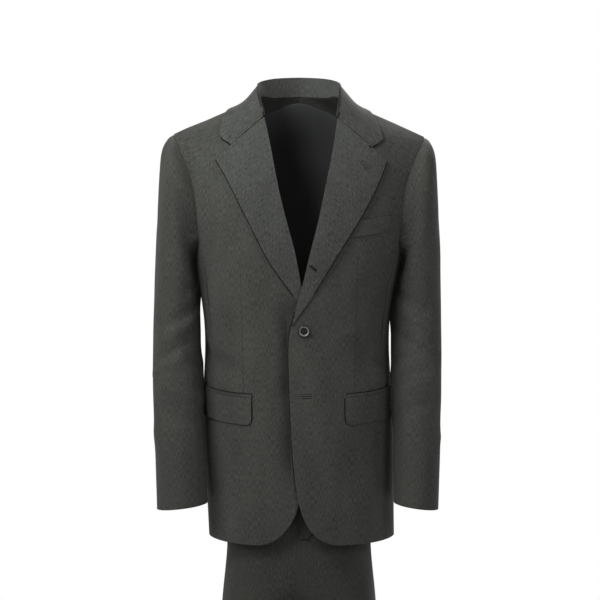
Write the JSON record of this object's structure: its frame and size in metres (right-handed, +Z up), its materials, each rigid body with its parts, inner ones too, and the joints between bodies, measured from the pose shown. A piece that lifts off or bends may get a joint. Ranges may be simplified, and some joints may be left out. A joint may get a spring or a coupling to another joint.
{
  "type": "suit",
  "caption": "Single-breasted suit as worn: notch-lapel jacket with flap pockets and breast welt over straight trousers, hollow throughout.",
  "frame": {"origin": "the middle between the two side neck points, where the jacket hangs on its wearer", "axes": "+Z up, -Y out of the front of the jacket, +X to the side of the wearer's left arm"},
  "size_m": [0.4895, 0.2706, 1.6395],
  "materials": {
    "suit_cloth": "charcoal worsted, fine mottled weave",
    "lining": "smooth dark grey lining",
    "horn_button": "dark horn-like, satin"
  },
  "bodies": {
    "root": {"back_left": "suit_cloth", "back_lining": "lining", "back_right": "suit_cloth", "breast_welt": "suit_cloth", "button_middle": "horn_button", "collar": "suit_cloth", "cuff_button_left_1": "horn_button", "cuff_button_left_2": "horn_button", "cuff_button_left_3": "horn_button", "cuff_button_left_4": "horn_button", "cuff_button_right_1": "horn_button", "cuff_button_right_2": "horn_button", "cuff_button_right_3": "horn_button", "cuff_button_right_4": "horn_button", "flap_left": "suit_cloth", "flap_right": "suit_cloth", "fly": "suit_cloth", "front_left": "suit_cloth", "front_right": "suit_cloth", "jet_left": "suit_cloth", "jet_right": "suit_cloth", "lapel_left": "suit_cloth", "lapel_right": "suit_cloth", "side_left": "suit_cloth", "side_right": "suit_cloth", "sleeve_top_left": "suit_cloth", "sleeve_top_right": "suit_cloth", "sleeve_under_left": "suit_cloth", "sleeve_under_right": "suit_cloth", "trouser_back_left": "suit_cloth", "trouser_back_right": "suit_cloth", "trouser_front_left": "suit_cloth", "trouser_front_right": "suit_cloth", "waistband": "suit_cloth"}
  },
  "joints": []
}
